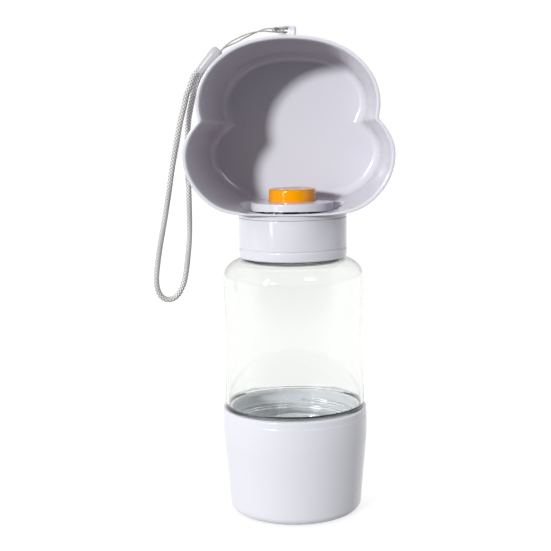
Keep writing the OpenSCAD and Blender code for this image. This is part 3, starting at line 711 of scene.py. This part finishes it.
def make_skirt():
    """The skirt under the disc's edge. Its lower edge rises towards the front."""
    low_z, top_z, inner_r = POCKET_Z + SKIRT_GAP, FLANGE_Z + 0.5, FLANGE_R - SKIRT_W
    skirt = lathe("valve_skirt", eased(
        [(inner_r, low_z, 0.3), (FLANGE_R + 0.06, low_z, 0.45), (FLANGE_R, low_z + 0.9, 0.3),
         (FLANGE_R, top_z, 0), (inner_r, top_z, 0)]), 192)
    still_z = FLANGE_Z + 0.4
    for v in skirt.data.vertices:
        share = max(0, min(1, (still_z - v.co.z / MM) / (still_z - low_z)))
        v.co.z += share * max(0, -v.co.y) / FLANGE_R * (FRONT_GAP - SKIRT_GAP)
    return skirt


def make_valve_body():
    """The disc, its skirt, tube and ribs, and the stem's guide. The windows let water out."""
    guide_r, bore_r, guide_z, join_z = 4.4, TUBE_R - TUBE_WALL, FLANGE_Z - 6, FLANGE_Z + 0.35
    ribs, windows, window_w, rib_w, window_h = 6, 8, 7.0, 1.2, 1.6
    body = lathe("valve_flange", eased(
        [(STEM_HOLE_R, FLANGE_Z, 0), (FLANGE_R - 0.4, FLANGE_Z, 0), (FLANGE_R, FLANGE_Z + 0.3, 0),
         (FLANGE_R, FLANGE_TOP_Z, 0.45), (WELL_R, FLANGE_TOP_Z + DISC_RISE, 0.35),
         (WELL_R, WELL_Z, 0.2), (STEM_HOLE_R, WELL_Z, 0)], steps=5), 192)
    skirt = make_skirt()
    tube_part = lathe("valve_tube", [(bore_r, SEAT_Z), (TUBE_R, SEAT_Z), (TUBE_R, join_z),
                                     (bore_r, join_z)], 128)
    guide = lathe("valve_guide", [(STEM_HOLE_R, guide_z), (guide_r, guide_z), (guide_r, join_z),
                                  (STEM_HOLE_R, join_z)], 64)
    feet = [block("rib", (TUBE_R + rib_w, FLANGE_R - 4.4), rib_w, (POCKET_Z + 0.01, join_z),
                  360 * i / ribs) for i in range(ribs)]
    combine(body, "UNION", skirt, tube_part, guide, *feet)
    holes = [block("window", (bore_r - 1, TUBE_R + 0.6), window_w,
                   (POCKET_Z, POCKET_Z + window_h), 360 * i / windows) for i in range(windows)]
    seal_room = cylinder("seal_room", guide_r - 0.8, FLANGE_Z - 7, FLANGE_Z - 4.4, 64)
    combine(body, "DIFFERENCE", seal_room, *holes)
    smooth(body)
    return body


def block(name, along, width, heights, turn_deg):
    """A box that reaches out along X, turned round Z."""
    (x0, x1), (z0, z1), y = along, heights, width / 2
    turn = math.radians(turn_deg)
    verts = [(x, yy, z) for z in (z0, z1) for x, yy in ((x0, -y), (x1, -y), (x1, y), (x0, y))]
    verts = [(x * math.cos(turn) - yy * math.sin(turn), x * math.sin(turn) + yy * math.cos(turn), z)
             for x, yy, z in verts]
    faces = [(3, 2, 1, 0), (4, 5, 6, 7), (0, 1, 5, 4), (1, 2, 6, 5), (2, 3, 7, 6), (3, 0, 4, 7)]
    return new_object(name, verts, faces)


def make_button():
    boss_r, boss_z, pin_r, round_r, dish, dish_r = 3.6, 150.75, 1.525, 1.0, 0.35, 9.2
    inner_r, inner_z = BUTTON_R - BUTTON_WALL, BUTTON_TOP_Z - BUTTON_WALL
    outline = [(pin_r, boss_z, 0), (boss_r, boss_z, 0.2), (boss_r, inner_z, 0.3),
               (inner_r, inner_z, 0.4), (inner_r, BUTTON_LOW_Z, 0.3),
               (BUTTON_R, BUTTON_LOW_Z, 0.3)]
    outline += [(BUTTON_R - round_r * (1 - math.cos(a)),
                 BUTTON_TOP_Z - round_r * (1 - math.sin(a)), 0)
                for a in np.linspace(0, math.pi / 2, 12)]
    outline += [(r, BUTTON_TOP_Z - dish * math.cos(math.pi / 2 * r / dish_r) ** 2, 0)
                for r in np.linspace(dish_r, 0, 10)]
    outline += [(0, inner_z - 0.3, 0), (pin_r, inner_z - 0.3, 0)]
    return lathe("button_shell", eased(outline, steps=4), 160)


SPRING_R, SPRING_WIRE, SPRING_TURNS = 5.8, 0.8, 4.5


def make_spring():
    """The valve's coil, from the well up to the inside of the button's top."""
    low = WELL_Z + SPRING_WIRE / 2 + RUN
    high = BUTTON_TOP_Z - BUTTON_WALL - SPRING_WIRE / 2 - RUN
    a = np.linspace(0, 2 * math.pi * SPRING_TURNS, 181)
    path = np.column_stack([SPRING_R * np.cos(a), SPRING_R * np.sin(a),
                            low + (high - low) * a / a[-1]])
    return tube("valve_coil", path, lambda angle, i: np.full_like(angle, SPRING_WIRE / 2), 12)


shells = {
    "food_cup": (make_cup(), "cup", "white_plastic"),
    "bottle_body": (make_bottle(), "bottle", "clear_plastic"),
    "screw_cap": (make_cap(), "head", "white_plastic"),
    "trough": (make_trough(), "head", "white_plastic"),
    "valve_body": (make_valve_body(), "head", "white_plastic"),
    "push_button": (make_button(), "button", "orange_plastic"),
    "valve_spring": (make_spring(), "head", "steel"),
}
for node, (obj, body, slot) in shells.items():
    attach(obj, body)
    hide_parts(node)
    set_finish(obj, slot)
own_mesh(shells["valve_spring"][0])

# ---------------------------------------------------------------- materials


class Tree:
    """A node tree whose nodes are made and linked in short calls."""

    def __init__(self, tree):
        self.tree = tree

    def add(self, kind, links=(), settings=(), **values):
        """A node. links are (input, output socket) pairs, settings are attributes to set."""
        node = self.tree.nodes.new("ShaderNode" + kind)
        for key, value in dict(settings).items():
            setattr(node, key, value)
        for key, value in values.items():
            node.inputs[key.replace("_", " ")].default_value = value
        for key, socket in dict(links).items():
            self.link(socket, node.inputs[key])
        return node

    def link(self, socket, target):
        self.tree.links.new(socket, target)

    def put(self, value, target):
        """Sets an input to a number or a colour, or links a socket to it."""
        if isinstance(value, bpy.types.NodeSocket):
            self.link(value, target)
        else:
            target.default_value = (*value, 1) if isinstance(value, tuple) else value

    def calc(self, operation, a, b):
        node = self.add("Math", settings={"operation": operation})
        self.put(a, node.inputs[0])
        self.put(b, node.inputs[1])
        return node.outputs[0]

    def spread(self, socket, low, high, start=0.3, end=0.7, kind="LINEAR"):
        """Maps start to low and end to high."""
        node = self.add("MapRange", {"Value": socket}, {"interpolation_type": kind})
        for k, v in zip(("From Min", "From Max", "To Min", "To Max"), (start, end, low, high)):
            node.inputs[k].default_value = v
        return node.outputs[0]

    def mix(self, factor, one, two, kind="RGBA", blend="MIX"):
        """A mix of two colours, or of two numbers where kind is FLOAT."""
        node = self.add("Mix", {"Factor": factor}, {"data_type": kind, "blend_type": blend})
        at, out = {"FLOAT": (2, 0), "RGBA": (6, 2)}[kind]
        self.put(one, node.inputs[at])
        self.put(two, node.inputs[at + 1])
        return node.outputs[out]

    def mix_shader(self, factor, one, two):
        return self.add("MixShader", {0: factor, 1: one, 2: two}).outputs[0]


class Nodes(Tree):
    """A new material's nodes."""

    def __init__(self, name):
        self.mat = bpy.data.materials.new(name)
        self.mat.use_nodes = True
        super().__init__(self.mat.node_tree)
        self.shader = self.tree.nodes["Principled BSDF"]
        self.output = self.tree.nodes["Material Output"]

    def set(self, **values):
        for key, value in values.items():
            self.shader.inputs[key.replace("_", " ")].default_value = value

    def noise(self, scale, detail=3.0, roughness=0.55, stretch=None):
        place = self.add("TexCoord").outputs["Object"]
        if stretch:
            place = self.add("Mapping", {"Vector": place}, Scale=stretch).outputs[0]
        node = self.add("TexNoise", {"Vector": place}, Scale=scale, Detail=detail,
                        Roughness=roughness)
        return node.outputs["Fac"]

    def bump(self, height, strength, distance, after=None):
        node = self.add("Bump", {"Height": height}, Strength=strength, Distance=distance)
        if after is not None:
            self.link(after, node.inputs["Normal"])
        return node.outputs[0]

    def let_through(self, share, tint=(1, 1, 1)):
        """Lets a share of the rays straight through the surface."""
        through = self.add("BsdfTransparent", Color=(*tint, 1)).outputs[0]
        self.link(self.mix_shader(share, self.shader.outputs[0], through),
                  self.output.inputs["Surface"])


def moulded(name, one, two, rough, grain=1.0, bounce=None):
    """Moulded plastic: faint clouding, a fine uneven skin and a softly uneven gloss. bounce is
    its colour for light that comes on from another surface, which a darker bounce turns into
    painted shade."""
    n = Nodes(name)
    colour = n.mix(n.noise(22, 2), one, two)
    if bounce:
        colour = n.mix(n.add("LightPath").outputs["Is Diffuse Ray"], colour, bounce)
    n.link(colour, n.shader.inputs["Base Color"])
    n.link(n.spread(n.noise(90, 3), rough - 0.02, rough + 0.04), n.shader.inputs["Roughness"])
    skin_bump = n.bump(n.noise(60, 2), 0.35 * grain, 0.00002)
    n.link(n.bump(n.noise(5200, 2), 0.25 * grain, 0.0000008, skin_bump), n.shader.inputs["Normal"])
    n.set(IOR=1.5)
    return n.mat


def clear_plastic():
    """Clear plastic that lets lamps and bounced light through, faintly green where it is deep."""
    n = Nodes("clear_plastic")
    n.set(Base_Color=(0.948, 0.952, 0.945, 1), Roughness=0.015, IOR=1.46, Transmission_Weight=1.0)
    n.link(n.bump(n.noise(34, 2, stretch=(1, 1, 0.45)), 0.10, 0.0004), n.shader.inputs["Normal"])
    path = n.add("LightPath").outputs
    n.let_through(n.calc("MAXIMUM", path["Is Shadow Ray"], path["Is Diffuse Ray"]),
                  (0.98, 0.985, 0.98))
    depth = n.add("VolumeAbsorption", Color=(0.50, 0.82, 0.54, 1), Density=8.0)
    n.link(depth.outputs[0], n.output.inputs["Volume"])
    return n.mat


def steel():
    n = Nodes("plain_steel")
    n.link(n.mix(n.noise(300, 3), (0.52, 0.53, 0.55), (0.62, 0.63, 0.65)),
           n.shader.inputs["Base Color"])
    n.link(n.spread(n.noise(900, 4), 0.24, 0.4), n.shader.inputs["Roughness"])
    n.link(n.bump(n.noise(1500, 2, stretch=(1, 1, 6)), 0.15, 0.00001), n.shader.inputs["Normal"])
    n.set(Metallic=1.0)
    return n.mat


YARN_LIGHT = 0.5  # the share of a lamp's light that yarn lets through to what lies behind it


def cord(name, deep, pale, rough, fibre, sheen, shade=False):
    """Twisted or braided yarn: painted shade darkens it between the strands, with fine fibres along
    them.
    """
    n = Nodes(name)
    relief = n.add("Attribute", settings={"attribute_name": "relief"}).outputs["Fac"]
    # painted shade: the colour runs from deep in the low ground between strands to pale on their
    # crests
    colour = n.mix(n.spread(relief, 0, 1, 0.45, 0.95), deep, pale)
    if shade:
        strand = n.add("Attribute", settings={"attribute_name": "shade"}).outputs["Fac"]
        colour = n.mix(n.spread(strand, 0.0, 0.85, 0, 1), colour, (0.82, 0.82, 0.81),
                       blend="MULTIPLY")
    n.link(colour, n.shader.inputs["Base Color"])
    n.link(n.spread(n.noise(fibre, 3), rough - 0.08, rough + 0.08), n.shader.inputs["Roughness"])
    n.link(n.bump(n.noise(fibre, 3), 0.5, 0.00006), n.shader.inputs["Normal"])
    n.set(Sheen_Weight=sheen, Sheen_Roughness=0.5)
    n.let_through(n.calc("MULTIPLY", n.add("LightPath").outputs["Is Shadow Ray"], YARN_LIGHT))
    return n.mat


LAVENDER = ((0.765, 0.77, 0.835), (0.785, 0.79, 0.855), 0.12)
white = moulded("white_plastic", *LAVENDER)
# a copy of the white plastic whose darker, redder bounce colour paints shade into the trough's
# hollow
bowl_with_painted_shade = moulded("bowl_plastic_painted_shade", *LAVENDER, bounce=(0.41, 0.37, 0.46))
orange = moulded("orange_plastic", (1.0, 0.37, 0.0003), (1.0, 0.385, 0.0004), 0.1)
silicone = moulded("silicone", (0.74, 0.74, 0.79), (0.78, 0.78, 0.83), 0.5, 2.0)
tip = moulded("tip_plastic", (0.52, 0.52, 0.54), (0.60, 0.60, 0.62), 0.25, 2.0)
BY_SLOT = {
    "white_plastic": white, "orange_plastic": orange, "silicone": silicone, "sleeve": tip,
    "clear_plastic": clear_plastic(), "steel": steel(),
    # each cord's first colour is painted shade, laid into the low ground between its strands
    "strap": cord("braided_cord", (0.02, 0.02, 0.02), (0.95, 0.94, 0.92), 0.55, 2600, 0.0, True),
    "string": cord("twisted_string", (0.20, 0.19, 0.17), (0.66, 0.65, 0.61), 0.6, 3500, 0.1),
}


def dress(obj, slot):
    obj.data.materials.clear()
    obj.data.materials.append(BY_SLOT[slot])


for row in frame["record"]["subparts"]:
    dress(frame["nodes"][row["node"]], row["material_slot"])
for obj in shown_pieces():
    if "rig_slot" in obj:
        dress(obj, obj["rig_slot"])
# the trough takes the copy with painted shade: darker bounced light deepens the shade in its hollow
shells["trough"][0].data.materials[0] = bowl_with_painted_shade

# ---------------------------------------------------------------- stage and light

SUN_WAY = Vector((0.486, 0.849, -0.208))  # the way that the key light travels
SUN_POWER, SUN_SPREAD = 2.5, 6.5
ROOM_FRONT, ROOM_BACK, ROOM_TURN = 0.20, 1.08, (-0.8, 0.0)  # the room's light, and where it turns
MIRROR_FRONT, MIRROR_BACK, MIRROR_TURN = 0.03, 0.45, (-0.1, 0.55)  # the room in reflections
FLOOR_HALF = 4.0  # m
FLOOR_GLOW, FLOOR_WHITE, FLOOR_BOUNCE, FLOOR_DARK = 0.72, 0.38, 0.24, 0.01
FLOOR_DARK_Y, FLOOR_LIGHT_Y = -0.7, -0.12  # in reflections the floor is dark in front of these
# Each strip lamp's place, width and height in m, and its brightness
STRIPS = (((-0.394, -0.453, 0.334), 0.06, 0.50, 6.0), ((0.340, -0.500, 0.600), 0.20, 0.30, 5.0))


def seen_directly(n):
    """Two factors: 1 for what the camera or a see-through surface sees, and 1 for what a
    reflection sees. Both are 0 for bounced light."""
    path = n.add("LightPath").outputs
    sharp = n.calc("LESS_THAN", path["Diffuse Depth"], 0.5)
    plain = n.calc("MAXIMUM", path["Is Camera Ray"], path["Is Transmission Ray"])
    return n.calc("MULTIPLY", plain, sharp), n.calc("MULTIPLY", path["Is Glossy Ray"], sharp)


def make_floor():
    h = FLOOR_HALF / MM
    floor = new_object("floor", [(-h, -h, 0), (h, -h, 0), (h, h, 0), (-h, h, 0)], [(0, 1, 2, 3)])
    n = Nodes("floor")
    n.tree.nodes.remove(n.shader)
    plain, soft, dark = (n.add("BsdfDiffuse", Color=(v, v, v, 1)).outputs[0]
                         for v in (FLOOR_BOUNCE, FLOOR_WHITE, FLOOR_DARK))
    glow = n.add("Emission", Strength=FLOOR_GLOW).outputs[0]
    shown = n.add("AddShader", {0: soft, 1: glow}).outputs[0]
    camera, mirror = seen_directly(n)
    y = n.add("SeparateXYZ", {0: n.add("TexCoord").outputs["Object"]}).outputs["Y"]
    near = n.spread(y, 1, 0, FLOOR_DARK_Y, FLOOR_LIGHT_Y)
    lit = n.mix_shader(n.calc("MAXIMUM", camera, mirror), plain, shown)
    n.link(n.mix_shader(n.calc("MULTIPLY", mirror, near), lit, dark), n.output.inputs["Surface"])
    floor.data.materials.append(n.mat)


def make_world():
    world = bpy.data.worlds.new("room")
    scene.world = world
    world.use_nodes = True
    n = Tree(world.node_tree)
    y = n.add("SeparateXYZ", {0: n.add("TexCoord").outputs["Generated"]}).outputs["Y"]
    room = n.spread(y, ROOM_FRONT, ROOM_BACK, *ROOM_TURN, "SMOOTHSTEP")
    reflected = n.spread(y, MIRROR_FRONT, MIRROR_BACK, *MIRROR_TURN, "SMOOTHSTEP")
    camera, mirror = seen_directly(n)
    strength = n.mix(mirror, room, reflected, "FLOAT")
    back = n.tree.nodes["Background"]
    n.link(n.mix(camera, strength, 1.0, "FLOAT"), back.inputs["Strength"])
    back.inputs["Color"].default_value = (1, 1, 1, 1)


def make_sun():
    data = bpy.data.lights.new("key", "SUN")
    data.energy, data.angle = SUN_POWER, math.radians(SUN_SPREAD)
    sun = bpy.data.objects.new("key", data)
    sun.rotation_mode = "QUATERNION"
    sun.rotation_quaternion = SUN_WAY.to_track_quat("-Z", "Y")
    scene.collection.objects.link(sun)


def make_strips():
    """Narrow lamps that only show as highlights in gloss."""
    for i, (place, width, height, glow) in enumerate(STRIPS):
        data = bpy.data.lights.new(f"strip_{i}", "AREA")
        data.shape, data.size, data.size_y = "RECTANGLE", width, height
        data.energy = glow * math.pi * width * height
        lamp = bpy.data.objects.new(f"strip_{i}", data)
        m = Vector((-place[0], -place[1], 0)).to_track_quat("-Z", "Y").to_matrix().to_4x4()
        m.translation = place
        lamp.matrix_world = m
        lamp.visible_camera = lamp.visible_diffuse = False
        scene.collection.objects.link(lamp)


make_floor()
make_world()
make_sun()
make_strips()
scene.view_settings.view_transform = "Standard"
